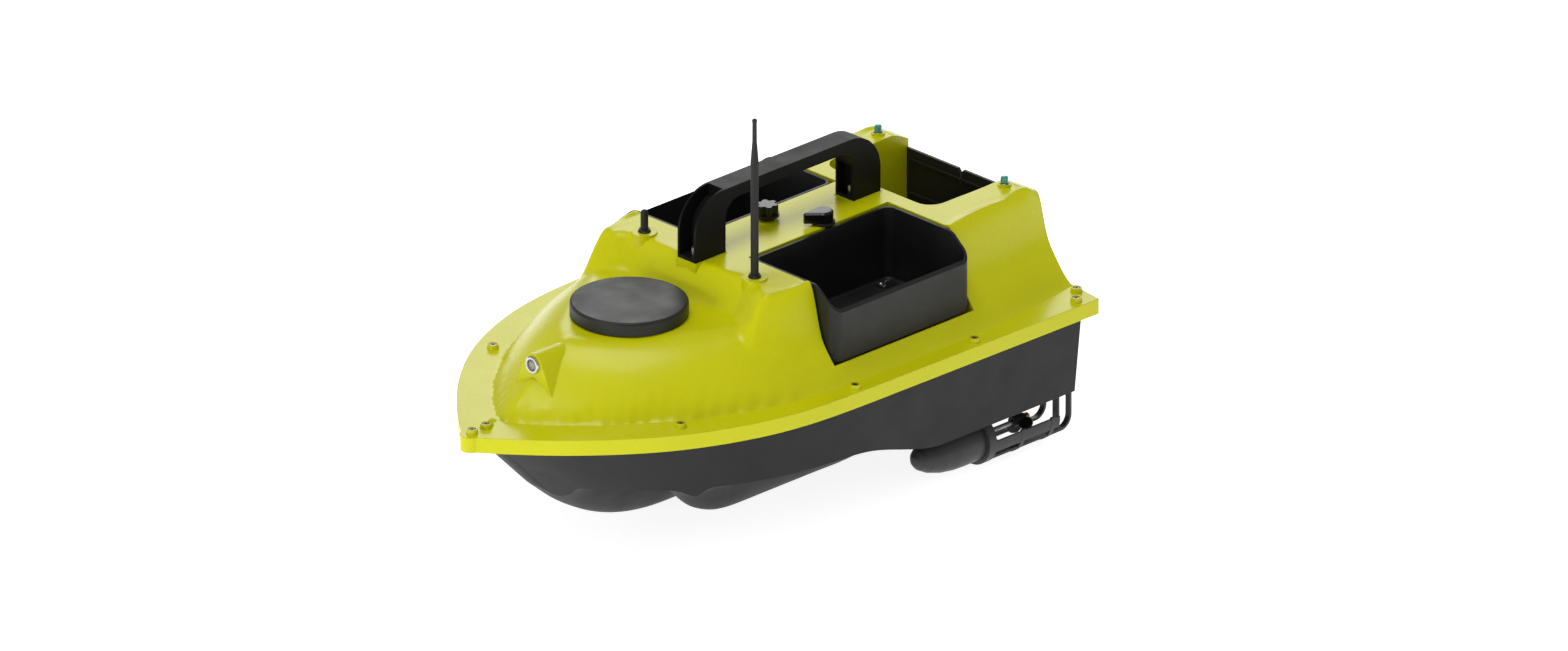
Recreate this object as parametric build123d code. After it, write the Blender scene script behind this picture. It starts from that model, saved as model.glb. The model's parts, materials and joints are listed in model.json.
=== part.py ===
"""Three-hopper radio-controlled bait boat, millimetres, +X to the bow, +Y to port, +Z up.

The origin is on the surface that the boat stands on, under the middle of its length.
"""
from build123d import *
import math
import os

os.makedirs("parts", exist_ok=True)

# ---------------------------------------------------------------- driving dimensions
LENGTH = 572.6            # over the deck flange
HALF_LENGTH = LENGTH / 2
DECK_Z = 125.5            # top face of the deck flange
BEAM_HALF = 162.0         # half width of the flange amidships
BEAM_GROWTH = 3.5         # how much wider the flange is at the stern
FLANGE_THICK = 2.5
SKIRT_DEPTH = 13.4
SKIRT_WALL = 2.5
GASKET_THICK = 1.5
RIM_THICK = 3.0
SHELL_WALL = 2.5
SKIN_DROP = 4.0           # how far the deck's inner skin lies straight below the outer one
STERN_BOW = 12.0          # how far the flange's stern edge bows aft of its corners

FOOT_X = 244.0            # forward end of the dome's foot line
FOOT_HALF = 147.0         # half width of the foot line amidships
FOREDECK_H = 50.5         # heights are above the flange's top face
PLATEAU_H = 77.0
FLARE_H = 32.0            # the side walls flare out below this height
FLARE_REACH = 32.0        # and are this far in from the foot line there
PLATEAU_STEP = 22.0       # how wide the step up to the plateau is
STERN_DROP = 9.0          # how far the plateau falls at the stern
DOME_REACH = 62.0         # how far in from the foot line the dome takes to reach its height
STERN_FACE_X = -282.0

HATCH_X = 99.0
HATCH_R = 48.5
HATCH_BORE_R = 41.0
LID_TOP_H = 62.8

DORMER_FRONT_X = 207.0
DORMER_BACK_X = 172.0
LAMP_H = 39.0
LAMP_R = 7.5
DORMER_R = 9.5

ANTENNA_X = 19.4
ANTENNA_Y = 64.0
ANTENNA_BOSS_TOP = 78.5
TAIL_LAMP_X = -257.0
TAIL_LAMP_Y = 73.4
TAIL_BOSS_TOP = 79.2

HOPPER_X0, HOPPER_X1 = -164.8, -8.4
HOPPER_Y0, HOPPER_Y1 = 32.0, 128.5
HOPPER_FLOOR_H = 10.5
HOPPER_RIM_H = 76.0
HOPPER_LOW_RIM_H = 56.0
HOPPER_WALL = 2.2
HOPPER_GAP = 1.6
POCKET_FLOOR_H = 6.3
POCKET_LIP_H = 12.0
HOPPER_PIVOT_Y, HOPPER_PIVOT_H = 122.0, 16.0
PIN_R = 1.5
RUNNING_GAP = 0.06

BIN_X1 = -182.0
BIN_HALF = 63.0
BIN_FLOOR_H = 4.0
DOOR_TOP_H = 62.0
DOOR_THICK = 2.5
DOOR_PIVOT_X, DOOR_PIVOT_H = -278.8, 9.2

HANDLE_X0, HANDLE_X1 = -177.0, 34.0
HANDLE_TOP_H = 133.3
HANDLE_WIDTH = 21.0
GRIP_THICK = 10.5
HANDLE_LEG_FRONT, HANDLE_LEG_REAR = 34.2, 31.0
HANDLE_PAD_H = 77.6       # top of the raised pads under the handle's feet
HANDLE_PAD_EDGE = 0.8     # how far the pads stand out round the feet
HANDLE_FEET = ((HANDLE_X1 - HANDLE_LEG_FRONT / 2, HANDLE_LEG_FRONT),
               (HANDLE_X0 + HANDLE_LEG_REAR / 2, HANDLE_LEG_REAR))

KNOB_X, KNOB_Y = -72.7, -15.5
CAP_X, CAP_Y = -98.8, 23.6

TRANSOM_X = -266.0
STEM_TOP_X = 271.7
STEM_BOTTOM_X = 151.0
HULL_HALF_TOP = 155.0
HULL_HALF_BOTTOM = 142.5
HULL_FULL_X = -60.0       # aft of this station the hull keeps its full beam
BOTTOM_FWD_Z = 62.7
BOTTOM_AFT_Z = 39.5
KEEL_HALF = 38.0
SPONSON_Y = 84.0
SPONSON_HALF = 26.0
SPONSON_Z = 23.5

SHAFT_Y = 128.0
SHAFT_Z = 22.5
SHAFT_R = 2.0
POD_R = 18.5
POD_NOSE_X = -98.0
POD_END_X = -168.0
POD_CAP_END_X = -172.0
MOTOR_R = 14.0
MOTOR_X0, MOTOR_X1 = -160.0, -124.0
PROP_R = 16.0
PROP_X = -219.0
GUARD_R = 22.5
GUARD_END_X = -264.0
GUARD_BAR = 2.2
HOOP_R = GUARD_R - 0.4    # the hoops sit just inside the straps' outer faces

FLANGE_SCREWS = [(276.0, 0.0), (260.6, 0.0)]
for station, offset in [(147.3, 109.2), (-6.7, 153.5), (-141.2, 155.5), (-257.0, 156.5), (-271.0, 143.0)]:
    FLANGE_SCREWS += [(station, offset), (station, -offset)]
SCREW_R = 1.5
SCREW_BOSS_R = 5.0
SCREW_BOSS_H = 4.0
SCREW_SEAT_H = 2.0
SCREW_HEAD_R = 2.8


# ---------------------------------------------------------------- helpers
def save(node, *solids):
    """Write one node, made of one or more separate solids."""
    shape = solids[0] if len(solids) == 1 else Compound(children=[s for s in solids])
    export_step(shape, "parts/" + node + ".step")


def block(x0, x1, y0, y1, z0, z1):
    size = (abs(x1 - x0), abs(y1 - y0), abs(z1 - z0))
    centre = ((x0 + x1) / 2, (y0 + y1) / 2, (z0 + z1) / 2)
    return Pos(*centre) * Box(*size)


def rod_z(x, y, z0, z1, r):
    return Pos(x, y, (z0 + z1) / 2) * Cylinder(r, abs(z1 - z0))


def rod_x(x0, x1, y, z, r):
    return Pos((x0 + x1) / 2, y, z) * Rot(0, 90, 0) * Cylinder(r, abs(x1 - x0))


def rod_y(x, y0, y1, z, r):
    return Pos(x, (y0 + y1) / 2, z) * Rot(90, 0, 0) * Cylinder(r, abs(y1 - y0))


def cone_z(x, y, z0, z1, r0, r1):
    return Pos(x, y, (z0 + z1) / 2) * Cone(r0, r1, z1 - z0)


def spin_x(points, y, z):
    """Turn a closed outline of (x, radius) points about the line through y and z along X."""
    face = make_face(Polyline(*[(px, pr) for px, pr in points], close=True))
    return Pos(0, y, z) * revolve(face, axis=Axis.X)


def spin_z(points, x, y):
    """Turn a closed outline of (radius, z) points about the vertical line through x and y."""
    face = make_face(Polyline(*[(pr, 0, pz) for pr, pz in points], close=True))
    return Pos(x, y, 0) * revolve(face, axis=Axis.Z)


def mirrored(shape):
    """The starboard twin of a port piece."""
    return mirror(shape, about=Plane.XZ)


def smooth(t):
    t = min(1.0, max(0.0, t))
    return t * t * (3 - 2 * t)


def even_spline(points):
    """A spline with evenly spaced parameters, so that neighbouring sections share their knots."""
    last = len(points) - 1
    return Edge.make_spline([Vector(*p) for p in points], parameters=[i / last for i in range(last + 1)])


def rounded_block(x0, x1, y0, y1, z0, z1, r):
    solid = block(x0, x1, y0, y1, z0, z1)
    return fillet(solid.edges().filter_by(Axis.Z), r)


# ---------------------------------------------------------------- plan outlines
def ogive(x, full_x, tip_x, half, power, root):
    """Half width of a boat-shaped outline: full aft of full_x, closing to nothing at tip_x."""
    if x <= full_x:
        return half
    t = min(1.0, (x - full_x) / (tip_x - full_x))
    return half * (1 - t ** power) ** (1 / root)


def flange_half(x, inset=0.0):
    wide = ogive(x, -40.0, HALF_LENGTH, BEAM_HALF, 2.75, 1.0)
    if x < -40.0:
        wide += BEAM_GROWTH * (-40.0 - x) / 234.0
    return wide - inset


def plan_face(half_width, stations, tip_x, stern_x, stern_bow, z):
    """A flat face in the shape of a hull seen from above."""
    port = [(x, half_width(x), z) for x in stations]
    starboard = [(x, -y, z) for x, y, z in reversed(port)]
    aft_y = port[0][1]
    edges = [
        even_spline(port),
        ThreePointArc(port[-1], (tip_x, 0, z), starboard[0]),
        even_spline(starboard),
    ]
    if stern_bow:
        edges.append(ThreePointArc(starboard[-1], (stern_x - stern_bow, 0, z), port[0]))
    else:
        edges.append(Line((stern_x, -aft_y, z), (stern_x, aft_y, z)))
    return make_face(edges)


def flange_plan(inset, z):
    stern = -HALF_LENGTH + STERN_BOW + inset
    stations = [stern, -200, -120, -40, 40, 100, 150, 190, 225, 252, 270 - inset, 280 - 1.6 * inset]
    return plan_face(lambda x: flange_half(x, inset), stations, HALF_LENGTH - 1.5 * inset,
                     stern, STERN_BOW, z)


def hull_plan(z, inset):
    """The hull side's outline at a height; the stem rakes and the sides flare."""
    k = z / (DECK_Z - FLANGE_THICK - GASKET_THICK)
    tip = STEM_BOTTOM_X + (STEM_TOP_X - STEM_BOTTOM_X) * k - 1.4 * inset
    half = HULL_HALF_BOTTOM + (HULL_HALF_TOP - HULL_HALF_BOTTOM) * k - inset
    reach = tip - HULL_FULL_X
    stations = [TRANSOM_X + inset, -160, HULL_FULL_X]
    stations += [HULL_FULL_X + reach * f for f in (0.2, 0.4, 0.55, 0.68, 0.79, 0.88, 0.945, 0.985)]
    return plan_face(lambda x: ogive(x, HULL_FULL_X, tip, half, 2.7, 1.25), stations, tip,
                     TRANSOM_X + inset, 0, z)


# ---------------------------------------------------------------- deck surface
def foot_half(x):
    """Half width of the line where the dome meets the flat flange."""
    wide = ogive(x, -20.0, FOOT_X, FOOT_HALF, 1.9, 1.25)
    if x < -150.0:
        wide -= 16.0 * ((-150.0 - x) / 136.0) ** 1.5
    return wide


def closed_outline(port_points):
    return port_points + [(x, -y) for x, y in reversed(port_points)]


SKIN_ROWS = [-174 + 6 * j for j in range(59)]
DECK_STATIONS = [-300, -290, -283, -276, -269, -262, -250, -220, -160, -100, -50, -20, -5, 8, 18, 26, 34,
                 42, 50, 58, 66, 75, 85, 97, 110, 122, 135, 147, 158, 168, 177, 186, 195, 203, 211, 219,
                 226, 232, 238, 243, 250, 262]
HULL_STATIONS = [-300, -285, -265, -245, -230, -215, -190, -175, -160, -135, -110, -90, -70, -50, -30,
                 -10, 15, 40, 60, 75, 90, 105, 120, 135, 150, 170, 190, 210, 230, 260, 290]
FOOT_STATIONS = [-345 + 15 * i for i in range(35)] + [178, 190, 201, 211, 220, 228, 234, 239, 242.5, 244]
FOOT_LINE = closed_outline([(x, foot_half(x)) for x in FOOT_STATIONS])
# The plateau's edge: a step behind the hatch, and a swell that runs forward to a soft point each side.
PLATEAU_PORT = [(-345, 150), (-10, 150), (20, 130), (46, 114), (66, 100), (54, 78), (43, 58), (47, 30),
                (50, 0)]
PLATEAU_LINE = closed_outline(PLATEAU_PORT)


def inside_distance(x, y, outline):
    """Distance from a point to a closed outline, positive inside it."""
    nearest = 1e9
    inside = False
    for (ax, ay), (bx, by) in zip(outline, outline[1:] + outline[:1]):
        dx, dy = bx - ax, by - ay
        span = dx * dx + dy * dy
        if span < 1e-9:
            continue
        t = min(1.0, max(0.0, ((x - ax) * dx + (y - ay) * dy) / span))
        nearest = min(nearest, math.hypot(x - ax - t * dx, y - ay - t * dy))
        if (ay > y) != (by > y) and x < ax + dx * (y - ay) / dy:
            inside = not inside
    return nearest if inside else -nearest


def deck_height(x, y):
    """Height of the deck's outer skin above the flange's top face."""
    foot = inside_distance(x, y, FOOT_LINE)
    if foot <= 0:
        return 0.3 * foot
    step = smooth(inside_distance(x, y, PLATEAU_LINE) / PLATEAU_STEP)
    top = FOREDECK_H + (PLATEAU_H - FOREDECK_H) * step - STERN_DROP * smooth((-262.0 - x) / 26.0)
    fore = smooth((x - 150.0) / 70.0)
    short_of_full = max(0.0, 1 - foot / (DOME_REACH + 8.0 * fore))
    loaf = top * (1 - short_of_full ** (1.72 - 0.5 * fore)) * smooth(foot / 7.0)
    flare = FLARE_H * (min(foot, FLARE_REACH) / FLARE_REACH) ** 1.5
    wall = flare + (top - FLARE_H) * smooth((foot - FLARE_REACH + 2) / 15.0)
    forward = smooth((x - 10.0) / 80.0)
    return wall + (loaf - wall) * forward


def loft_under(height, stations, rows, far_z):
    """The solid between a surface z = height(x, y) and a level plane, lofted along X."""
    sections = []
    for x in stations:
        top = even_spline([(x, y, height(x, y)) for y in rows])
        left, right = (x, rows[0], far_z), (x, rows[-1], far_z)
        sections.append(make_face([top, Line(top @ 1, right), Line(right, left), Line(left, top @ 0)]))
    return loft(sections)


def h(value):
    """Turn a height above the flange's top face into z."""
    return DECK_Z + value


def dormer():
    """The gabled lamp housing on the foredeck: a round ridge with steep sides."""
    slope = 2.05
    normal = math.atan(1 / slope)
    touch_y = DORMER_R * math.cos(normal)
    touch_z = LAMP_H + DORMER_R * math.sin(normal)
    base_y = touch_y + (touch_z - 0.5) / slope
    outline = [(-base_y, 0.5), (base_y, 0.5), (touch_y, touch_z), (-touch_y, touch_z)]
    gable = make_face(Polyline(*outline, close=True)) + Pos(0, LAMP_H) * Circle(DORMER_R)
    plane = Plane(origin=(DORMER_BACK_X, 0, DECK_Z), x_dir=(0, 1, 0), z_dir=(1, 0, 0))
    return extrude(plane * gable, amount=DORMER_FRONT_X - DORMER_BACK_X)


def hopper_pocket():
    """The port recess that the hopper drops into, and the walls round it."""
    inner = block(HOPPER_X0 - HOPPER_GAP, HOPPER_X1 + HOPPER_GAP, HOPPER_Y0 - 2.4, 129.5,
                  h(POCKET_FLOOR_H), h(100))
    inner = inner + block(HOPPER_X0 - HOPPER_GAP, HOPPER_X1 + HOPPER_GAP, 100, 160, h(POCKET_LIP_H), h(100))
    outer = block(HOPPER_X0 - HOPPER_GAP - SHELL_WALL, HOPPER_X1 + HOPPER_GAP + SHELL_WALL,
                  HOPPER_Y0 - 2.4 - SHELL_WALL, 145, h(POCKET_FLOOR_H - SHELL_WALL), h(95))
    return inner, outer


def deck_shell():
    sheet = loft_under(lambda x, y: h(deck_height(x, y)), DECK_STATIONS, SKIN_ROWS, 20)
    above = block(STERN_FACE_X, 290, -172, 172, h(-1), h(150))
    over_flange = extrude(flange_plan(1.0, h(-1)), amount=151, dir=(0, 0, 1))
    skin = sheet & above & over_flange
    skin = skin + dormer()
    for side in (1, -1):
        boss = cone_z(ANTENNA_X, side * ANTENNA_Y, h(50), h(ANTENNA_BOSS_TOP), 12.0, 10.4)
        tail = rod_z(TAIL_LAMP_X, side * TAIL_LAMP_Y, h(60), h(TAIL_BOSS_TOP), 5.6)
        skin = skin + boss + tail
    for x, leg in HANDLE_FEET:
        reach, half = leg / 2 + HANDLE_PAD_EDGE, HANDLE_WIDTH / 2 + HANDLE_PAD_EDGE
        skin = skin + block(x - reach, x + reach, -half, half, h(60), h(HANDLE_PAD_H))
    plate = extrude(flange_plan(0, h(-FLANGE_THICK)), amount=FLANGE_THICK, dir=(0, 0, 1))
    skirt = extrude(flange_plan(0, h(-SKIRT_DEPTH)), amount=SKIRT_DEPTH, dir=(0, 0, 1))
    core_plan = flange_plan(SKIRT_WALL, h(-SKIRT_DEPTH - 1))
    skirt_core = extrude(core_plan, amount=SKIRT_DEPTH + 1 - FLANGE_THICK, dir=(0, 0, 1))
    outer = skin + (skirt - skirt_core) + plate

    hollow = loft_under(lambda x, y: h(deck_height(x, y) - SKIN_DROP), DECK_STATIONS, SKIN_ROWS, 20)
    hollow = hollow & block(STERN_FACE_X + SHELL_WALL, 285, -165, 165, h(-FLANGE_THICK - 0.4), h(150))
    inner_pocket, outer_pocket = hopper_pocket()
    bin_outer = rounded_block(-320, BIN_X1 + SHELL_WALL, -BIN_HALF - SHELL_WALL, BIN_HALF + SHELL_WALL,
                              h(BIN_FLOOR_H - SHELL_WALL), h(90), 18)
    bin_inner = rounded_block(-320, BIN_X1, -BIN_HALF, BIN_HALF, h(BIN_FLOOR_H), h(110), 15.5)
    hollow = hollow - outer_pocket - mirrored(outer_pocket) - bin_outer
    shell = outer - hollow
    shell = shell - inner_pocket - mirrored(inner_pocket) - bin_inner

    shell = shell - rod_z(HATCH_X, 0, h(20), h(90), HATCH_BORE_R)
    shell = shell - rod_x(DORMER_FRONT_X - 14, DORMER_FRONT_X + 5, 0, h(LAMP_H), LAMP_R - 0.8)
    shell = shell - rod_x(DORMER_BACK_X - 20, DORMER_FRONT_X, 0, h(LAMP_H), 2.5)
    for side in (1, -1):
        shell = shell - rod_z(ANTENNA_X, side * ANTENNA_Y, h(40), h(100), 3.4)
        shell = shell - rod_z(TAIL_LAMP_X, side * TAIL_LAMP_Y, h(50), h(100), 2.0)
        shell = shell - rod_y(-87.0, side * 20, side * 31, h(46), 6.05)
        for x0, x1 in ((HOPPER_X1, HOPPER_X1 + 8), (HOPPER_X0 - 8, HOPPER_X0)):
            shell = shell - rod_x(x0, x1, side * HOPPER_PIVOT_Y, h(HOPPER_PIVOT_H), PIN_R)
    shell = shell - rod_z(KNOB_X, KNOB_Y, h(60), h(90), 6.0)
    shell = shell - rod_z(CAP_X, CAP_Y, h(60), h(90), 7.0)
    for x, leg in HANDLE_FEET:
        for dx in (-9, 9):
            shell = shell - rod_z(x + dx, 0, h(60), h(90), 2.1)
    for y in (-BIN_HALF - 8, BIN_HALF):
        shell = shell - rod_y(DOOR_PIVOT_X, y, y + 8, h(DOOR_PIVOT_H), 1.2)
    for x, y in FLANGE_SCREWS:
        shell = shell + cone_z(x, y, h(-0.5), h(SCREW_BOSS_H), SCREW_BOSS_R, SCREW_BOSS_R - 0.6)
    for x, y in FLANGE_SCREWS:
        shell = shell - rod_z(x, y, h(-5), h(10), SCREW_R)
        shell = shell - rod_z(x, y, h(SCREW_SEAT_H), h(10), SCREW_HEAD_R + 0.3)
    return shell


# ---------------------------------------------------------------- hull
def bottom_height(x, y):
    """Height of the hull's underside: a stepped bottom, a centre keel and two side sponsons."""
    base = BOTTOM_AFT_Z + (BOTTOM_FWD_Z - BOTTOM_AFT_Z) * smooth((x + 118.0) / 108.0)
    keel_nose = max(0.0, min(1.0, (x - 60.0) / 153.0)) ** 2.3
    keel_tail = smooth((-150.0 - x) / 90.0)
    keel_depth = (base + 0.8) * (1 - keel_nose) * (1 - keel_tail)
    across = abs(y) / KEEL_HALF
    z = base - keel_depth * (1 - across * across if across < 1 else 0.0)
    sponson_nose = max(0.0, min(1.0, (x - 55.0) / 83.0)) ** 3
    sponson_tail = smooth((-55.0 - x) / 85.0)
    sponson_depth = (base - SPONSON_Z) * (1 - sponson_nose) * (1 - sponson_tail)
    across = abs(abs(y) - SPONSON_Y) / SPONSON_HALF
    if across < 1:
        z -= sponson_depth * (1 - across * across)
    return z


def raised_bottom(x, y):
    """The inside of the hull's bottom: the underside moved up by the wall."""
    reach = SHELL_WALL
    around = ((0, 0), (reach, 0), (-reach, 0), (0, reach), (0, -reach))
    return max(bottom_height(x + dx, y + dy) for dx, dy in around) + 0.85 * reach


def lower_hull():
    top = DECK_Z - FLANGE_THICK - GASKET_THICK
    sides = loft([hull_plan(-5, 0), hull_plan(top, 0)], ruled=True)
    body = sides & loft_under(bottom_height, HULL_STATIONS, SKIN_ROWS, 180)
    body = body - block(-300, 300, -200, 200, -20, 0)
    inner_sides = loft([hull_plan(-5, SHELL_WALL), hull_plan(top + 5, SHELL_WALL)], ruled=True)
    cavity = inner_sides & loft_under(raised_bottom, HULL_STATIONS, SKIN_ROWS, 180)
    rim = extrude(flange_plan(SKIRT_WALL + 0.5, top - RIM_THICK), amount=RIM_THICK, dir=(0, 0, 1))
    hull = (body + rim) - cavity
    for x, y in FLANGE_SCREWS:
        hull = hull - rod_z(x, y, top - 12, top + 5, SCREW_R)
    for side in (1, -1):
        hull = hull - rod_z(-135, side * SHAFT_Y, BOTTOM_AFT_Z - 5, BOTTOM_AFT_Z + 8, 3.0)
    return hull


def gasket():
    z = DECK_Z - FLANGE_THICK - GASKET_THICK
    outer = extrude(flange_plan(SKIRT_WALL + 0.5, z), amount=GASKET_THICK, dir=(0, 0, 1))
    inner = extrude(hull_plan(z, 0), amount=GASKET_THICK, dir=(0, 0, 1))
    ring = outer - inner
    for x, y in FLANGE_SCREWS:
        ring = ring - rod_z(x, y, z - 2, z + 4, SCREW_R)
    return ring


def flange_screw(x, y):
    head = rod_z(x, y, h(SCREW_SEAT_H), h(SCREW_BOSS_H - 0.4), SCREW_HEAD_R)
    head = chamfer(head.edges().group_by(Axis.Z)[-1], 0.5)
    socket = extrude(Plane(origin=(x, y, h(SCREW_SEAT_H + 0.5))) * RegularPolygon(1.5, 6), amount=3)
    shank = rod_z(x, y, h(-9.5), h(SCREW_SEAT_H), SCREW_R)
    return head - socket + shank


# ---------------------------------------------------------------- hatch and headlamp
def hatch_ring():
    """The collar bonded into the deck: a tube through the hole with a flat flange on top."""
    top = FOREDECK_H + 2.0
    outline = [(HATCH_BORE_R - 4, h(32)), (HATCH_BORE_R - 0.2, h(32)), (HATCH_BORE_R - 0.2, h(FOREDECK_H + 0.4)),
               (HATCH_R - 3, h(FOREDECK_H + 0.4)), (HATCH_R - 3, h(top)), (HATCH_BORE_R - 4, h(top))]
    return spin_z(outline, HATCH_X, 0)


def hatch_lid():
    low, top = h(FOREDECK_H + 0.8), h(LID_TOP_H)
    plug_r = HATCH_BORE_R - 6.4
    outline = [(0, top), (HATCH_R - 2.0, top), (HATCH_R - 0.6, top - 0.6), (HATCH_R, top - 2.0), (HATCH_R, low),
               (HATCH_R - 2.4, low), (HATCH_R - 2.4, top - 3), (plug_r, top - 3), (plug_r, h(40)),
               (plug_r - 2.5, h(40)), (plug_r - 2.5, top - 3), (0, top - 3)]
    return spin_z(outline, HATCH_X, 0)


def hatch_seal():
    """The rubber ring between the collar's top and the lid."""
    z = h(FOREDECK_H + 2.0)
    outline = [(HATCH_BORE_R - 3.6, z), (HATCH_BORE_R + 3.2, z), (HATCH_BORE_R + 3.2, z + 3.0),
               (HATCH_BORE_R - 3.6, z + 3.0)]
    return spin_z(outline, HATCH_X, 0)


save("hatch_ring", hatch_ring())
save("hatch_lid", hatch_lid())
save("hatch_seal", hatch_seal())


def headlight_bezel():
    outline = [(-13, LAMP_R - 2.3), (-13, LAMP_R - 1.0), (0.0, LAMP_R - 1.0), (0.0, LAMP_R), (1.6, LAMP_R),
               (2.4, LAMP_R - 0.8), (2.4, LAMP_R - 2.3)]
    return spin_x([(DORMER_FRONT_X + x, r) for x, r in outline], 0, h(LAMP_H))


save("headlight_bezel", headlight_bezel())
lens_face = spin_x([(DORMER_FRONT_X + x, r) for x, r in
                    [(-1.5, 0), (-1.5, LAMP_R - 2.4), (0.8, LAMP_R - 2.4), (1.8, 2.6), (2.1, 0)]], 0, h(LAMP_H))
save("headlight_lens", lens_face)
lamp_board = rod_x(DORMER_FRONT_X - 12, DORMER_FRONT_X - 10, 0, h(LAMP_H), LAMP_R - 2.5)
lamp_chip = rod_x(DORMER_FRONT_X - 10, DORMER_FRONT_X - 8.5, 0, h(LAMP_H), 2.2)
save("headlight_led", lamp_board + lamp_chip)


# ---------------------------------------------------------------- side hoppers
def hopper():
    """The port bait hopper: an open tub whose rim dips towards its outer wall."""
    x0, x1, y0, y1 = HOPPER_X0, HOPPER_X1, HOPPER_Y0, HOPPER_Y1
    floor, rim = h(HOPPER_FLOOR_H), h(HOPPER_RIM_H)
    tub = rounded_block(x0, x1, y0, y1, floor, rim, 9)
    tub = fillet(tub.edges().group_by(Axis.Z)[0], 3.0)
    hollow = rounded_block(x0 + HOPPER_WALL, x1 - HOPPER_WALL, y0 + HOPPER_WALL, y1 - HOPPER_WALL,
                           floor + HOPPER_WALL, rim + 10, 7)
    hollow = fillet(hollow.edges().group_by(Axis.Z)[0], 2.5)
    bosses = [rod_x(x0 + 0.5, x0 + 9, HOPPER_PIVOT_Y - 0.5, h(HOPPER_PIVOT_H + 0.5), 4.6),
              rod_x(x1 - 9, x1 - 0.5, HOPPER_PIVOT_Y - 0.5, h(HOPPER_PIVOT_H + 0.5), 4.6)]
    tub = tub - hollow
    for boss in bosses:
        tub = tub + boss
    low = h(HOPPER_LOW_RIM_H)
    dip = make_face([Line((103, rim + 0.01), (150, rim + 0.01)), Line((150, rim + 0.01), (150, low - 2)),
                     Line((150, low - 2), (y1 + 1.0, low - 2)),
                     Spline((y1 + 1.0, low - 2), (121, h(63.8)), (112, h(71.3)), (103, rim + 0.01),
                            tangents=((-0.5, 1), (-1, 0.12)))])
    plane = Plane(origin=(x0 - 5, 0, 0), x_dir=(0, 1, 0), z_dir=(1, 0, 0))
    tub = tub - extrude(plane * dip, amount=x1 - x0 + 10)
    for xa, xb in ((x0 - 1, x0 + 7), (x1 - 7, x1 + 1)):
        tub = tub - rod_x(xa, xb, HOPPER_PIVOT_Y, h(HOPPER_PIVOT_H), PIN_R + RUNNING_GAP)
    eye = rod_x(-88, -84, 118, h(HOPPER_FLOOR_H + 9), 4) - rod_x(-90, -82, 118, h(HOPPER_FLOOR_H + 9), 1.8)
    foot = block(-92, -80, 112, 124, h(HOPPER_FLOOR_H + 1.5), h(HOPPER_FLOOR_H + 5.5))
    return tub + foot + eye


def hopper_pins():
    """Two stub axles, each from the recess's end wall into the tub's end wall."""
    return [rod_x(HOPPER_X1 - 6, HOPPER_X1 + 4.0, HOPPER_PIVOT_Y, h(HOPPER_PIVOT_H), PIN_R),
            rod_x(HOPPER_X0 - 4.0, HOPPER_X0 + 6, HOPPER_PIVOT_Y, h(HOPPER_PIVOT_H), PIN_R)]


MAGNET_X, MAGNET_H = -87.0, 46.0
keeper = block(MAGNET_X - 8, MAGNET_X + 8, HOPPER_Y0 - 1.2, HOPPER_Y0, h(MAGNET_H - 7), h(MAGNET_H + 7))
magnet = rod_y(MAGNET_X, 14, HOPPER_Y0 - 1.7, h(MAGNET_H), 6.0)
tub = hopper()
for side_name, place in (("port", lambda s: s), ("starboard", mirrored)):
    save(side_name + "_hopper", place(tub))
    save(side_name + "_hopper_pins", *[place(pin) for pin in hopper_pins()])
    save(side_name + "_keeper_plate", place(keeper))
    save(side_name + "_release_magnet", place(magnet))


# ---------------------------------------------------------------- rear hopper and its door
def bin_liner():
    tray = rounded_block(-274, BIN_X1 - 0.4, 0.4 - BIN_HALF, BIN_HALF - 0.4, h(BIN_FLOOR_H), h(13), 15.1)
    inner = rounded_block(-290, BIN_X1 - 2.2, 2.2 - BIN_HALF, BIN_HALF - 2.2, h(BIN_FLOOR_H + 1.6), h(20), 13.3)
    return tray - inner - block(-290, -255, -80, 80, h(BIN_FLOOR_H + 1.6), h(30))


def rear_door():
    """The tailgate: a flat wall on a barrel, with a vee and a slit for the fishing line."""
    half = BIN_HALF - 0.6
    face = STERN_FACE_X
    panel = block(face, face + DOOR_THICK, -half, half, h(DOOR_PIVOT_H), h(DOOR_TOP_H))
    barrel = rod_y(DOOR_PIVOT_X, -half, half, h(DOOR_PIVOT_H), abs(face - DOOR_PIVOT_X))
    door = panel + barrel
    for z in (22, 52):
        door = door + block(face + DOOR_THICK, face + DOOR_THICK + 1.5, -half + 4, half - 4, h(z), h(z + 2))
    top = h(DOOR_TOP_H)
    vee = Polyline((-4, top + 1), (4, top + 1), (0, top - 4), close=True)
    plane = Plane(origin=(face - 2, 0, 0), x_dir=(0, 1, 0), z_dir=(1, 0, 0))
    door = door - extrude(plane * make_face(vee), amount=8)
    door = door - block(face - 2, face + 8, -0.6, 0.6, top - 14, top)
    return door - rod_y(DOOR_PIVOT_X, -half - 1, half + 1, h(DOOR_PIVOT_H), 1.2 + RUNNING_GAP)


save("rear_bin_liner", bin_liner())
save("rear_door", rear_door())
save("rear_door_pin", rod_y(DOOR_PIVOT_X, -BIN_HALF - 4, BIN_HALF + 4, h(DOOR_PIVOT_H), 1.2))
door_keeper = block(STERN_FACE_X + DOOR_THICK, STERN_FACE_X + DOOR_THICK + 1.2, 44, 58, h(31), h(43))
save("rear_door_keeper", door_keeper)
magnet_rear = rod_x(STERN_FACE_X + DOOR_THICK + 1.7, STERN_FACE_X + 17, 51, h(37), 6.0)
magnet_arm = block(STERN_FACE_X + 8, STERN_FACE_X + 17, 51, BIN_HALF - 0.1, h(30), h(44))
save("rear_door_magnet", magnet_rear + magnet_arm)


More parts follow.
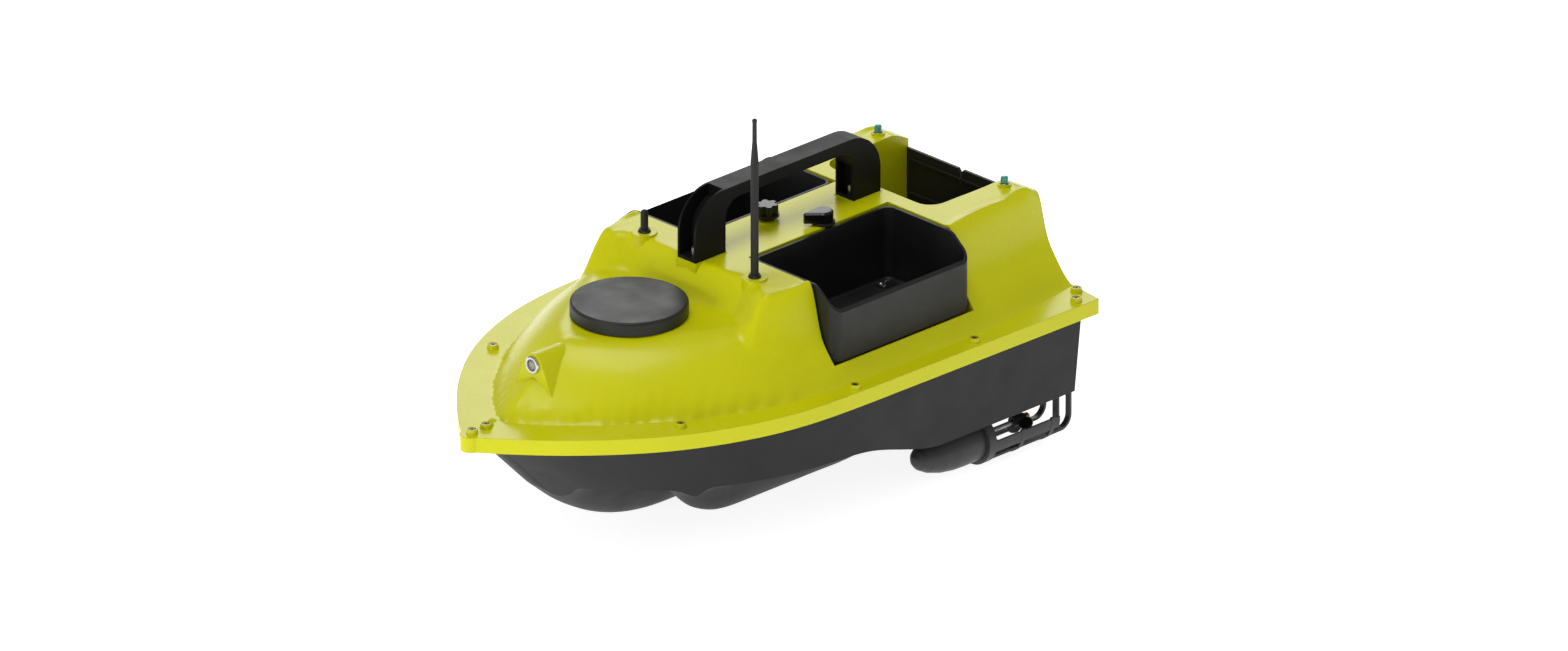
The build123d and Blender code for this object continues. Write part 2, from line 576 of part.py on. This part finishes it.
# ---------------------------------------------------------------- carry handle
def handle():
    """A bent box section: wide-radius shoulders and a groove down the face of each leg."""
    x0, x1 = HANDLE_X0, HANDLE_X1
    top, foot = h(HANDLE_TOP_H), h(HANDLE_PAD_H)
    plane = Plane(origin=(0, HANDLE_WIDTH / 2, 0), x_dir=(1, 0, 0), z_dir=(0, -1, 0))
    outer = Polyline((x0, foot), (x1, foot), (x1, top), (x0, top), close=True)
    outer_face = make_face(outer)
    outer_face = fillet(outer_face.vertices().group_by(Axis.Y)[-1], 34)
    xa, xb = x0 + HANDLE_LEG_REAR, x1 - HANDLE_LEG_FRONT
    inner = make_face(Polyline((xa, foot - 1), (xb, foot - 1), (xb, top - GRIP_THICK), (xa, top - GRIP_THICK),
                               close=True))
    inner_face = fillet(inner.vertices().group_by(Axis.Y)[-1], 16)
    bar = extrude(plane * (outer_face - inner_face), amount=HANDLE_WIDTH)
    slot = HANDLE_WIDTH / 2 - 2.2
    groove_outer = fillet(make_face(Polyline((x1 - 60, foot + 3), (x1 + 5, foot + 3), (x1 + 5, top + 5),
                                             (x1 - 60, top + 5), close=True)).vertices(), 1)
    groove_inner = make_face(Polyline((x1 - 90, foot - 5), (x1 - 14, foot - 5), (x1 - 14, top - 9),
                                      (x1 - 90, top - 9), close=True))
    groove_inner = fillet(groove_inner.vertices().group_by(Axis.Y)[-1], 26)
    groove = groove_outer - groove_inner - make_face(Polyline((x1 - 70, top - 30), (x1 - 33, top - 30),
                                                              (x1 - 33, top + 9), (x1 - 70, top + 9), close=True))
    plane_in = Plane(origin=(0, slot, 0), x_dir=(1, 0, 0), z_dir=(0, -1, 0))
    bar = bar - extrude(plane_in * groove, amount=2 * slot)
    rear = block(x0 + HANDLE_LEG_REAR - 8, x0 + HANDLE_LEG_REAR + 4, -slot, slot, foot + 3, top - GRIP_THICK - 14)
    bar = bar - rear
    for x, leg in HANDLE_FEET:
        for dx in (-9, 9):
            bar = bar - rod_z(x + dx, 0, foot - 1, foot + 12, 2.0)
    return bar


def handle_screw(x):
    """A screw driven up from under the deck into the handle's foot."""
    head = rod_z(x, 0, h(PLATEAU_H - 11), h(PLATEAU_H - 8), 3.4)
    washer = rod_z(x, 0, h(PLATEAU_H - 8), h(PLATEAU_H - 6.8), 4.2)
    return head + washer + rod_z(x, 0, h(PLATEAU_H - 8), h(PLATEAU_H + 10), 1.9)


save("carry_handle", handle())
screw_stations = [x + dx for x, leg in HANDLE_FEET for dx in (-9, 9)]
save("handle_screws", *[handle_screw(x) for x in screw_stations])


# ---------------------------------------------------------------- antennas and tail lamps
def antenna(outline, side):
    top = h(ANTENNA_BOSS_TOP)
    points = [(0, top - 14), (3.1, top - 14), (3.1, top + 2.6)] + [(r, top + z) for r, z in outline]
    return spin_z(points, ANTENNA_X, side * ANTENNA_Y)


def antenna_collar(side):
    top = h(ANTENNA_BOSS_TOP)
    outline = [(3.3, top), (5.3, top), (5.3, top + 0.8), (4.6, top + 1.3), (4.6, top + 2.6), (3.3, top + 2.6)]
    return spin_z(outline, ANTENNA_X, side * ANTENNA_Y)


def antenna_nut(side):
    z = h(ANTENNA_BOSS_TOP) - 11.5
    nut = extrude(Plane(origin=(ANTENNA_X, side * ANTENNA_Y, z)) * RegularPolygon(5.4, 6), amount=2.5)
    return nut - rod_z(ANTENNA_X, side * ANTENNA_Y, z - 1, z + 5, 3.25)


save("port_antenna", antenna([(3.3, 2.6), (3.3, 90), (3.5, 100), (1.95, 120), (1.85, 136.5), (2.1, 137.2),
                              (2.1, 138.6), (1.4, 139.6), (0, 139.9)], 1))
save("starboard_antenna", antenna([(3.2, 2.6), (3.2, 17.0), (2.6, 18.4), (1.4, 19.3), (0, 19.6)], -1))
save("antenna_collars", antenna_collar(1), antenna_collar(-1))
save("antenna_nuts", antenna_nut(1), antenna_nut(-1))


def tail_lamp(side):
    z = h(TAIL_BOSS_TOP)
    outline = [(0, z + 0.7), (3.2, z + 0.7), (3.2, z + 5.2), (2.8, z + 6.1), (1.5, z + 6.6), (0, z + 6.7)]
    return spin_z(outline, TAIL_LAMP_X, side * TAIL_LAMP_Y)


def tail_bezel(side):
    z = h(TAIL_BOSS_TOP)
    outline = [(0, z - 6), (1.9, z - 6), (1.9, z), (4.1, z), (4.1, z + 0.4), (3.8, z + 0.7), (0, z + 0.7)]
    return spin_z(outline, TAIL_LAMP_X, side * TAIL_LAMP_Y)


save("tail_lamps", tail_lamp(1), tail_lamp(-1))
save("tail_lamp_bezels", tail_bezel(1), tail_bezel(-1))


# ---------------------------------------------------------------- switch knob and charging socket
def power_switch():
    """The switch's threaded bush, its body under the deck and its spindle."""
    z = h(PLATEAU_H)
    bush = rod_z(KNOB_X, KNOB_Y, z - 12, z + 2.4, 5.8)
    return bush + block(KNOB_X - 10, KNOB_X + 10, KNOB_Y - 10, KNOB_Y + 10, z - 26, z - 5)


def power_knob():
    """A six-lobed knob on a round skirt."""
    z = h(PLATEAU_H)
    plan = Circle(7.2)
    for i in range(6):
        plan = plan + Pos(6.4 * math.cos(i * math.pi / 3), 6.4 * math.sin(i * math.pi / 3)) * Circle(3.1)
    grip = extrude(Plane(origin=(KNOB_X, KNOB_Y, z + 4.6)) * plan, amount=8.4)
    grip = chamfer(grip.edges().group_by(Axis.Z)[-1], 0.7)
    skirt = rod_z(KNOB_X, KNOB_Y, z + 2.8, z + 5, 10.2)
    return grip + skirt


def charge_socket():
    z = h(PLATEAU_H)
    body = rod_z(CAP_X, CAP_Y, z - 16, z + 0.3, 6.8) + rod_z(CAP_X, CAP_Y, z + 0.3, z + 2.4, 9.6)
    return body - rod_z(CAP_X, CAP_Y, z - 10, z + 4, 4.0)


def charge_cap():
    """A quarter-turn cap: a domed round body drawn out to a point as a finger grip."""
    z = h(PLATEAU_H)
    plan = Circle(8.2) + make_face([Line((-1.5, -8.06), (-17.5, -1.2)), Line((-17.5, -1.2), (-17.5, 1.2)),
                                    Line((-17.5, 1.2), (-1.5, 8.06)), Line((-1.5, 8.06), (-1.5, -8.06))])
    body = extrude(plan, amount=9.2)
    body = chamfer(body.edges().group_by(Axis.Z)[-1], 1.6)
    body = Pos(CAP_X, CAP_Y, z + 2.8) * Rot(0, 0, 160) * body
    return body + rod_z(CAP_X, CAP_Y, z - 6, z + 3, 3.4)


save("power_switch", power_switch())
save("power_knob", power_knob())
save("charge_socket", charge_socket())
save("charge_cap", charge_cap())


# ---------------------------------------------------------------- thruster pods
def pod():
    """The underwater motor housing: a teardrop flat against the hull, hollow from behind."""
    outline = [(POD_NOSE_X, 0), (POD_NOSE_X - 1, 4), (POD_NOSE_X - 5, 8.4), (POD_NOSE_X - 13, 12.8),
               (POD_NOSE_X - 25, 16.4), (POD_NOSE_X - 38, 18.2), (POD_NOSE_X - 48, POD_R), (POD_END_X, POD_R),
               (POD_END_X, 0)]
    body = spin_x(outline, SHAFT_Y, SHAFT_Z)
    body = body - block(-200, -80, SHAFT_Y - 30, SHAFT_Y + 30, BOTTOM_AFT_Z - 0.05, 60)
    body = body - rod_x(POD_END_X - 1, MOTOR_X1 + 1, SHAFT_Y, SHAFT_Z, MOTOR_R + 0.3)
    return body - rod_z(-135, SHAFT_Y, SHAFT_Z, 60, 3.0)


def pod_cap():
    outline = [(POD_END_X, SHAFT_R + 2.2), (POD_END_X, POD_R - 0.5), (POD_CAP_END_X, POD_R - 0.5),
               (POD_CAP_END_X - 4, 7.0), (POD_CAP_END_X - 8, 6.0), (POD_CAP_END_X - 8, SHAFT_R + 2.2)]
    cap = spin_x(outline, SHAFT_Y, SHAFT_Z)
    return cap - block(-200, -80, SHAFT_Y - 30, SHAFT_Y + 30, BOTTOM_AFT_Z - 0.05, 60)


def shaft_seal():
    outline = [(POD_END_X, SHAFT_R + RUNNING_GAP), (POD_END_X, SHAFT_R + 2.2), (POD_CAP_END_X - 8, SHAFT_R + 2.2),
               (POD_CAP_END_X - 8, SHAFT_R + RUNNING_GAP)]
    return spin_x(outline, SHAFT_Y, SHAFT_Z)


def motor():
    can = rod_x(MOTOR_X0, MOTOR_X1, SHAFT_Y, SHAFT_Z, MOTOR_R)
    neck = rod_x(MOTOR_X0 - 3, MOTOR_X0, SHAFT_Y, SHAFT_Z, 6)
    return can + neck - rod_x(MOTOR_X0 - 5, MOTOR_X1 - 4, SHAFT_Y, SHAFT_Z, SHAFT_R + RUNNING_GAP)


def propeller():
    """Three twisted blades on a hub."""
    hub = rod_x(PROP_X - 7, PROP_X + 7, SHAFT_Y, SHAFT_Z, 4.6)
    hub = chamfer(hub.edges().group_by(Axis.X)[0], 1.2)
    blade_plan = Pos(0, 9.2) * Ellipse(5.6, 6.6)
    blade = extrude(Plane(origin=(0, 0, -0.7), x_dir=(1, 0, 0), z_dir=(0, 0, 1)) * blade_plan, amount=1.4)
    prop = hub
    for i in range(3):
        turned = Rot(120 * i, 0, 0) * (Rot(0, 38, 0) * blade)
        prop = prop + Pos(PROP_X, SHAFT_Y, SHAFT_Z) * turned
    return prop - rod_x(PROP_X - 10, PROP_X + 10, SHAFT_Y, SHAFT_Z, SHAFT_R)


def guard_strap(offset, width):
    """One flat bar of the guard: aft along the cage, then up round a bend to the hull."""
    drop = math.sqrt(GUARD_R ** 2 - (abs(offset) + width / 2) ** 2)
    low = SHAFT_Z - drop if offset else SHAFT_Z - GUARD_R
    front, back, top = POD_CAP_END_X + 2, GUARD_END_X, BOTTOM_AFT_Z - 0.05
    outer = make_face(Polyline((front, low), (back, low), (back, top), (front, top), close=True))
    outer = fillet(outer.vertices().sort_by(lambda v: v.X + v.Y)[0], 12)
    inner = make_face(Polyline((front + 5, low + GUARD_BAR), (back + GUARD_BAR, low + GUARD_BAR),
                               (back + GUARD_BAR, top + 5), (front + 5, top + 5), close=True))
    inner = fillet(inner.vertices().sort_by(lambda v: v.X + v.Y)[0], 12 - GUARD_BAR)
    plane = Plane(origin=(0, SHAFT_Y + offset + width / 2, 0), x_dir=(1, 0, 0), z_dir=(0, -1, 0))
    return extrude(plane * (outer - inner), amount=width)


def half_ring(x0, x1):
    """The lower half of a hoop round the shaft line."""
    ring = rod_x(x0, x1, SHAFT_Y, SHAFT_Z, HOOP_R) - rod_x(x0 - 1, x1 + 1, SHAFT_Y, SHAFT_Z, HOOP_R - GUARD_BAR)
    return ring - block(x0 - 2, x1 + 2, SHAFT_Y - 40, SHAFT_Y + 40, SHAFT_Z + 3, 60)


def guard():
    collar = rod_x(POD_CAP_END_X - 1, POD_END_X + 3, SHAFT_Y, SHAFT_Z, HOOP_R)
    collar = collar - rod_x(POD_CAP_END_X - 3, POD_END_X + 5, SHAFT_Y, SHAFT_Z, POD_R + 0.05)
    collar = collar - block(-200, -100, SHAFT_Y - 40, SHAFT_Y + 40, BOTTOM_AFT_Z - 0.05, 60)
    cage = collar + half_ring(-206, -202) + half_ring(-240, -236)
    cage = cage + guard_strap(0, 6) + guard_strap(14.5, 5) + guard_strap(-14.5, 5)
    side = rod_x(-246, POD_CAP_END_X + 1, SHAFT_Y, SHAFT_Z, HOOP_R - 0.25)
    side = side - rod_x(-250, POD_CAP_END_X + 3, SHAFT_Y, SHAFT_Z, HOOP_R - GUARD_BAR + 0.25)
    side = side & block(-300, -100, SHAFT_Y + 12, SHAFT_Y + 40, SHAFT_Z - 8, SHAFT_Z + 2)
    return cage + side


thruster = {
    "pod": [pod()],
    "pod_cap": [pod_cap()],
    "shaft_seal": [shaft_seal()],
    "motor": [motor()],
    "propeller_shaft": [rod_x(MOTOR_X1 - 6, PROP_X - 12, SHAFT_Y, SHAFT_Z, SHAFT_R)],
    "propeller": [propeller()],
    "propeller_nut": [rod_x(PROP_X - 10.5, PROP_X - 7, SHAFT_Y, SHAFT_Z, 3.6)
                      - rod_x(PROP_X - 12, PROP_X - 6, SHAFT_Y, SHAFT_Z, SHAFT_R)],
    "propeller_guard": [guard()],
}
for piece, solids in thruster.items():
    save("port_" + piece, *solids)
    save("starboard_" + piece, *[mirrored(s) for s in solids])


# ---------------------------------------------------------------- inside the hull
tray = rounded_block(-95, 110, -50, 50, BOTTOM_FWD_Z + 6, BOTTOM_FWD_Z + 8, 6)
save("battery_tray", tray)
pack = rounded_block(-45, 90, 6, 44, BOTTOM_FWD_Z + 8, BOTTOM_FWD_Z + 36, 4)
save("battery_packs", pack, mirrored(pack))
box_outer = rounded_block(-92, -50, -42, 42, BOTTOM_FWD_Z + 8, BOTTOM_FWD_Z + 34, 4)
box_inner = rounded_block(-90, -52, -40, 40, BOTTOM_FWD_Z + 10, BOTTOM_FWD_Z + 32, 3)
save("control_box", box_outer - box_inner)
board = block(-88, -54, -37, 37, BOTTOM_FWD_Z + 14, BOTTOM_FWD_Z + 15.6)
chips = [block(-80, -70, y, y + 10, BOTTOM_FWD_Z + 15.6, BOTTOM_FWD_Z + 18) for y in (-30, -10, 10)]
save("control_board", board + chips[0] + chips[1] + chips[2])

deck = deck_shell()
save("deck_shell", deck)
hull = lower_hull()
save("lower_hull", hull)
save("flange_gasket", gasket())
save("flange_screws", *[flange_screw(x, y) for x, y in FLANGE_SCREWS])
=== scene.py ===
import json
import math

import bmesh
import bpy
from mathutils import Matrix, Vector


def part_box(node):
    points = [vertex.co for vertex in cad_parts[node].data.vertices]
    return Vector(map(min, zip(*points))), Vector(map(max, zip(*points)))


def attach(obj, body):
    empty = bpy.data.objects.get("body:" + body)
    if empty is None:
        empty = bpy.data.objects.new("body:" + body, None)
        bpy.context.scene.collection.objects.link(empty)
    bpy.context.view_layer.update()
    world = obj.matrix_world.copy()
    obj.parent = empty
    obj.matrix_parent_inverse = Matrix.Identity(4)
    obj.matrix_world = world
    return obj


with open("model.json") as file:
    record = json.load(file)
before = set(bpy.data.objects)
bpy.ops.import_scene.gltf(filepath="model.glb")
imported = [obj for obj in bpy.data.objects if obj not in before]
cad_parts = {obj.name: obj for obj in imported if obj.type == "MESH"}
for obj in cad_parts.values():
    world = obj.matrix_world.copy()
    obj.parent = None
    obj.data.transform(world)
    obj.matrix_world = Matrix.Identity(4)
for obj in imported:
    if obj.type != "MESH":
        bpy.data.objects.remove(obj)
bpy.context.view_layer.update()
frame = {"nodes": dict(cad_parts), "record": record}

MM = 0.001

# The hoppers' riveted brackets, in millimetres.
HOPPER_WALL = 2.2
BRACKET_FROM_REAR = 15.0
BRACKET_FROM_INNER_WALL = 13.0
BRACKET_PLATE = (15.0, 9.0, 2.4)
BRACKET_TONGUE = (11.0, 1.8, 5.0)
BRACKET_ROUNDING = 0.5
RIVET_RADIUS, RIVET_HEIGHT, RIVET_REACH = 1.7, 1.1, 5.0
RIVET_RINGS, RIVET_SPOKES = 5, 16

# The stage, in metres: where the camera looks, from what side, and the lights.
AIM = Vector((-0.0741, 0.0028, 0.1123))
AZIMUTH, ELEVATION = math.radians(135.5), math.radians(24.0)
LENS, DISTANCE = 650.0, 23.08
CLIP_END = 100.0
FLOOR_HALF = 12.0
FLOOR_GLOW = 0.86
WORLD_STRENGTH = 0.31
LIGHT_TARGET = Vector((0, 0, 0.12))
LIGHTS = (
    ("overhead", (0.3, 0.1, 2.3), 1.3, 20),
    ("bow_key", (2.3, 0.1, 0.35), 0.9, 13),
    ("back_sheen", (-1.6, -1.7, 1.2), 1.5, 13),
)


# --- node material helpers ---------------------------------------------------

class Finish:
    """One procedural material: a Principled shader with noise in colour, gloss and bump."""

    def __init__(self, name, metallic=0.0, coat=0.0, coat_rough=0.1, ior=1.5):
        self.material = bpy.data.materials.new(name)
        self.material.use_nodes = True
        self.tree = self.material.node_tree
        self.shader = self.tree.nodes["Principled BSDF"]
        self.shader.inputs["Metallic"].default_value = metallic
        self.shader.inputs["Coat Weight"].default_value = coat
        self.shader.inputs["Coat Roughness"].default_value = coat_rough
        self.shader.inputs["IOR"].default_value = ior
        self.place = self.tree.nodes.new("ShaderNodeTexCoord").outputs["Object"]
        self.height = None

    def node(self, kind):
        return self.tree.nodes.new(kind)

    def link(self, source, target):
        self.tree.links.new(source, target)

    def stretched(self, factors):
        """The object's own coordinates, scaled differently along each axis."""
        mapping = self.node("ShaderNodeMapping")
        mapping.inputs["Scale"].default_value = factors
        self.link(self.place, mapping.inputs["Vector"])
        return mapping.outputs["Vector"]

    def noise(self, scale, detail=3.0, roughness=0.5, vector=None):
        texture = self.node("ShaderNodeTexNoise")
        texture.inputs["Scale"].default_value = scale
        texture.inputs["Detail"].default_value = detail
        texture.inputs["Roughness"].default_value = roughness
        self.link(vector or self.place, texture.inputs["Vector"])
        return texture.outputs["Fac"]

    def ramp(self, source, low, high, start=0.3, end=0.7):
        """Colours from low to high as source goes from start to end."""
        ramp = self.node("ShaderNodeValToRGB")
        ramp.color_ramp.elements[0].position = start
        ramp.color_ramp.elements[1].position = end
        ramp.color_ramp.elements[0].color = (*low, 1)
        ramp.color_ramp.elements[1].color = (*high, 1)
        self.link(source, ramp.inputs["Fac"])
        return ramp.outputs["Color"]

    def colour(self, low, high, scale, detail=3.0, vector=None):
        source = self.noise(scale, detail, vector=vector)
        self.link(self.ramp(source, low, high), self.shader.inputs["Base Color"])
        return self

    def gloss(self, low, high, scale, vector=None):
        """Roughness from low to high in patches."""
        spread = self.node("ShaderNodeMapRange")
        spread.inputs["From Min"].default_value = 0.3
        spread.inputs["From Max"].default_value = 0.7
        spread.inputs["To Min"].default_value = low
        spread.inputs["To Max"].default_value = high
        self.link(self.noise(scale, 4.0, vector=vector), spread.inputs["Value"])
        self.link(spread.outputs["Result"], self.shader.inputs["Roughness"])
        return self

    def worn_edges(self, radius):
        """Light rolls over every sharp edge as over a small radius, in metres."""
        bevel = self.node("ShaderNodeBevel")
        bevel.samples = 4
        bevel.inputs["Radius"].default_value = radius
        self.height = bevel.outputs["Normal"]
        return self

    def bump(self, scale, distance, strength=0.5, detail=2.0, vector=None):
        """A fine grain of that height in metres, on top of any earlier one."""
        bump = self.node("ShaderNodeBump")
        bump.inputs["Strength"].default_value = strength
        bump.inputs["Distance"].default_value = distance
        self.link(self.noise(scale, detail, vector=vector), bump.inputs["Height"])
        if self.height is not None:
            self.link(self.height, bump.inputs["Normal"])
        self.height = bump.outputs["Normal"]
        self.link(self.height, self.shader.inputs["Normal"])
        return self


# --- the slots' materials ----------------------------------------------------

def lime_shell():
    """Glossy lime yellow lacquer over moulded plastic, with a faint orange peel."""
    finish = Finish("lime_shell", coat=0.09, coat_rough=0.12)
    finish.shader.inputs["Specular IOR Level"].default_value = 0.22
    finish.colour((0.625, 0.62, 0.002), (0.655, 0.65, 0.003), 9)
    finish.gloss(0.24, 0.30, 30)
    finish.worn_edges(0.0009)
    finish.bump(900, 0.00005, 0.12)
    return finish.material


def moulded(name, low, high, rough, shine=0.35, grain=1500, depth=0.00008, strength=0.35):
    """Satin moulded plastic with a fine spark-eroded texture."""
    finish = Finish(name)
    finish.shader.inputs["Specular IOR Level"].default_value = shine
    finish.colour(low, high, 14)
    finish.gloss(rough - 0.05, rough + 0.06, 40)
    finish.worn_edges(0.0006)
    finish.bump(grain, depth, strength)
    return finish.material


def gloss_black():
    """Polished black plastic with a clear coat."""
    finish = Finish("gloss_black", coat=0.15, coat_rough=0.08)
    finish.shader.inputs["Specular IOR Level"].default_value = 0.3
    finish.colour((0.004, 0.004, 0.0045), (0.008, 0.008, 0.009), 20)
    finish.gloss(0.15, 0.22, 50)
    finish.worn_edges(0.0005)
    finish.bump(1200, 0.00003, 0.15)
    return finish.material


def brushed(name, low, high, rough, streak=(1, 1, 14)):
    """Metal with fine streaks along one axis."""
    finish = Finish(name, metallic=1.0)
    along = finish.stretched(streak)
    finish.colour(low, high, 160, vector=along)
    finish.gloss(rough - 0.07, rough + 0.08, 220, vector=along)
    finish.bump(700, 0.00004, 0.25, vector=along)
    return finish.material


def clear_lens():
    """Clear polycarbonate."""
    finish = Finish("clear_lens", ior=1.49)
    finish.shader.inputs["Transmission Weight"].default_value = 0.9
    finish.colour((0.93, 0.96, 0.98), (1, 1, 1), 60)
    finish.gloss(0.02, 0.06, 90)
    finish.bump(500, 0.00002, 0.1)
    return finish.material


def green_lens():
    """Tinted teal lens of a tail lamp."""
    finish = Finish("green_lens", coat=0.5, coat_rough=0.05)
    finish.shader.inputs["Transmission Weight"].default_value = 0.25
    finish.colour((0.03, 0.30, 0.24), (0.08, 0.46, 0.38), 120)
    finish.gloss(0.1, 0.18, 90)
    finish.bump(600, 0.00004, 0.2)
    return finish.material


def led_board():
    """Phosphor yellow of a white lamp chip on its board."""
    finish = Finish("led_board")
    finish.colour((0.78, 0.70, 0.35), (0.95, 0.92, 0.75), 300)
    finish.gloss(0.4, 0.6, 200)
    finish.bump(1500, 0.00004, 0.3)
    return finish.material


def blue_wrap():
    """Shrink wrap round the battery packs."""
    finish = Finish("blue_wrap", coat=0.3)
    finish.colour((0.02, 0.10, 0.42), (0.04, 0.15, 0.52), 30)
    finish.gloss(0.25, 0.4, 60)
    finish.bump(120, 0.0002, 0.3)
    return finish.material


def slot_materials():
    return {
        "lime_shell": lime_shell(),
        "charcoal_hull": moulded("charcoal_hull", (0.014, 0.014, 0.0145), (0.018, 0.018, 0.0185),
                                 0.5, shine=0.2),
        "rubber": moulded("rubber", (0.012, 0.012, 0.012), (0.02, 0.02, 0.02), 0.75),
        "dark_steel": brushed("dark_steel", (0.22, 0.18, 0.13), (0.42, 0.36, 0.27), 0.38),
        "black_plastic": moulded("black_plastic", (0.011, 0.011, 0.0115), (0.016, 0.016, 0.0165), 0.45),
        "chrome": brushed("chrome", (0.48, 0.48, 0.50), (0.62, 0.62, 0.64), 0.14),
        "clear_lens": clear_lens(),
        "led_board": led_board(),
        "steel": brushed("steel", (0.42, 0.42, 0.43), (0.60, 0.60, 0.61), 0.3, (14, 1, 1)),
        "handle_plastic": moulded("handle_plastic", (0.005, 0.005, 0.0053), (0.008, 0.008, 0.0084),
                                  0.4, shine=0.1),
        "antenna_rubber": moulded("antenna_rubber", (0.012, 0.012, 0.012), (0.02, 0.02, 0.02), 0.6),
        "brass": brushed("brass", (0.55, 0.40, 0.16), (0.75, 0.58, 0.28), 0.3),
        "green_lens": green_lens(),
        "gloss_black": gloss_black(),
        "blue_wrap": blue_wrap(),
        "pod_plastic": moulded("pod_plastic", (0.03, 0.03, 0.031), (0.042, 0.042, 0.043), 0.45),
    }


def paint(node, material):
    node.data.materials.clear()
    node.data.materials.append(material)


def paint_frame(materials):
    """Give every CAD node the material of its slot."""
    for part in frame["record"]["subparts"]:
        paint(frame["nodes"][part["node"]], materials[part["material_slot"]])


# --- small pieces that only the looks need ------------------------------------

def rounded_slab(model, centre, size, radius):
    """A box with rounded edges, added to a bmesh."""
    made = bmesh.ops.create_cube(model, size=1.0)["verts"]
    bmesh.ops.scale(model, vec=Vector(size), verts=made)
    bmesh.ops.translate(model, vec=Vector(centre), verts=made)
    edges = {edge for vert in made for edge in vert.link_edges}
    bmesh.ops.bevel(model, geom=list(edges), offset=radius, segments=3, profile=0.5, affect="EDGES")


def rivet(model, centre, radius, height):
    """A domed rivet head made of shrinking rings."""
    rings = []
    for step in range(RIVET_RINGS):
        angle = math.radians(90) * step / (RIVET_RINGS - 1)
        reach = max(radius * math.cos(angle), radius * 0.02)
        ring = []
        for spoke in range(RIVET_SPOKES):
            turn = math.tau * spoke / RIVET_SPOKES
            out = Vector((reach * math.cos(turn), reach * math.sin(turn), height * math.sin(angle)))
            ring.append(model.verts.new(centre + out))
        rings.append(ring)
    for lower, upper in zip(rings, rings[1:]):
        for k in range(RIVET_SPOKES):
            nxt = (k + 1) % RIVET_SPOKES
            model.faces.new((lower[k], lower[nxt], upper[nxt], upper[k]))
    model.faces.new(rings[-1])
    model.faces.new(list(reversed(rings[0])))


def add_piece(name, model, body, material):
    """Turn a bmesh into a visible piece that rides one of the bodies."""
    mesh = bpy.data.meshes.new(name)
    bmesh.ops.recalc_face_normals(model, faces=model.faces)
    model.to_mesh(mesh)
    model.free()
    mesh.materials.append(material)
    mesh.shade_smooth()
    mesh.set_sharp_from_angle(angle=math.radians(35))
    piece = bpy.data.objects.new(name, mesh)
    bpy.context.scene.collection.objects.link(piece)
    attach(piece, body)
    return piece


def add_hopper_bracket(side, materials):
    """The riveted bracket on a hopper's floor, in its inner rear corner."""
    low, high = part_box(side + "_hopper")
    inner_y = low.y if side == "port" else high.y
    outward = 1 if side == "port" else -1
    floor = low.z + HOPPER_WALL * MM
    plate_lift = BRACKET_PLATE[2] / 2 + 0.2
    centre = Vector((
        low.x + BRACKET_FROM_REAR * MM,
        inner_y + outward * BRACKET_FROM_INNER_WALL * MM,
        floor + plate_lift * MM,
    ))
    model = bmesh.new()
    rounding = BRACKET_ROUNDING * MM
    rounded_slab(model, centre, Vector(BRACKET_PLATE) * MM, rounding)
    tongue = centre + Vector((0, outward * 3.6 * MM, 2.6 * MM))
    rounded_slab(model, tongue, Vector(BRACKET_TONGUE) * MM, rounding)
    for reach in (-RIVET_REACH, RIVET_REACH):
        seat = centre + Vector((reach * MM, -outward * 1.5 * MM, 1.1 * MM))
        rivet(model, seat, RIVET_RADIUS * MM, RIVET_HEIGHT * MM)
    add_piece(side + "_hopper_bracket", model, side + "_hopper", materials["steel"])


# --- stage ---------------------------------------------------------------------

def add_camera():
    data = bpy.data.cameras.new("camera")
    data.lens = LENS
    data.clip_end = CLIP_END
    camera = bpy.data.objects.new("camera", data)
    bpy.context.scene.collection.objects.link(camera)
    back = Vector((
        math.sin(AZIMUTH) * math.cos(ELEVATION),
        -math.cos(AZIMUTH) * math.cos(ELEVATION),
        math.sin(ELEVATION),
    ))
    camera.location = AIM + back * DISTANCE
    camera.rotation_mode = "QUATERNION"
    camera.rotation_quaternion = (-back).to_track_quat("-Z", "Y")
    bpy.context.scene.camera = camera


def add_floor():
    mesh = bpy.data.meshes.new("floor")
    model = bmesh.new()
    bmesh.ops.create_grid(model, x_segments=2, y_segments=2, size=FLOOR_HALF)
    model.to_mesh(mesh)
    model.free()
    floor = bpy.data.objects.new("floor", mesh)
    bpy.context.scene.collection.objects.link(floor)
    finish = Finish("floor_paper")
    finish.shader.inputs["Emission Color"].default_value = (1, 1, 1, 1)
    finish.shader.inputs["Emission Strength"].default_value = FLOOR_GLOW
    finish.colour((0.80, 0.80, 0.80), (0.82, 0.82, 0.82), 0.5)
    finish.gloss(0.85, 0.95, 2)
    mesh.materials.append(finish.material)


def add_light(name, place, size, power):
    data = bpy.data.lights.new(name, "AREA")
    data.shape = "DISK"
    data.size = size
    data.energy = power
    light = bpy.data.objects.new(name, data)
    light.location = place
    aim = LIGHT_TARGET - Vector(place)
    light.rotation_mode = "QUATERNION"
    light.rotation_quaternion = aim.to_track_quat("-Z", "Y")
    bpy.context.scene.collection.objects.link(light)


def add_lights():
    world = bpy.data.worlds.new("studio")
    world.use_nodes = True
    world.node_tree.nodes["Background"].inputs["Color"].default_value = (1, 1, 1, 1)
    world.node_tree.nodes["Background"].inputs["Strength"].default_value = WORLD_STRENGTH
    bpy.context.scene.world = world
    for name, place, size, power in LIGHTS:
        add_light(name, place, size, power)
    bpy.context.scene.view_settings.view_transform = "Standard"


add_camera()
add_floor()
add_lights()
finishes = slot_materials()
paint_frame(finishes)
for hull_side in ("port", "starboard"):
    add_hopper_bracket(hull_side, finishes)
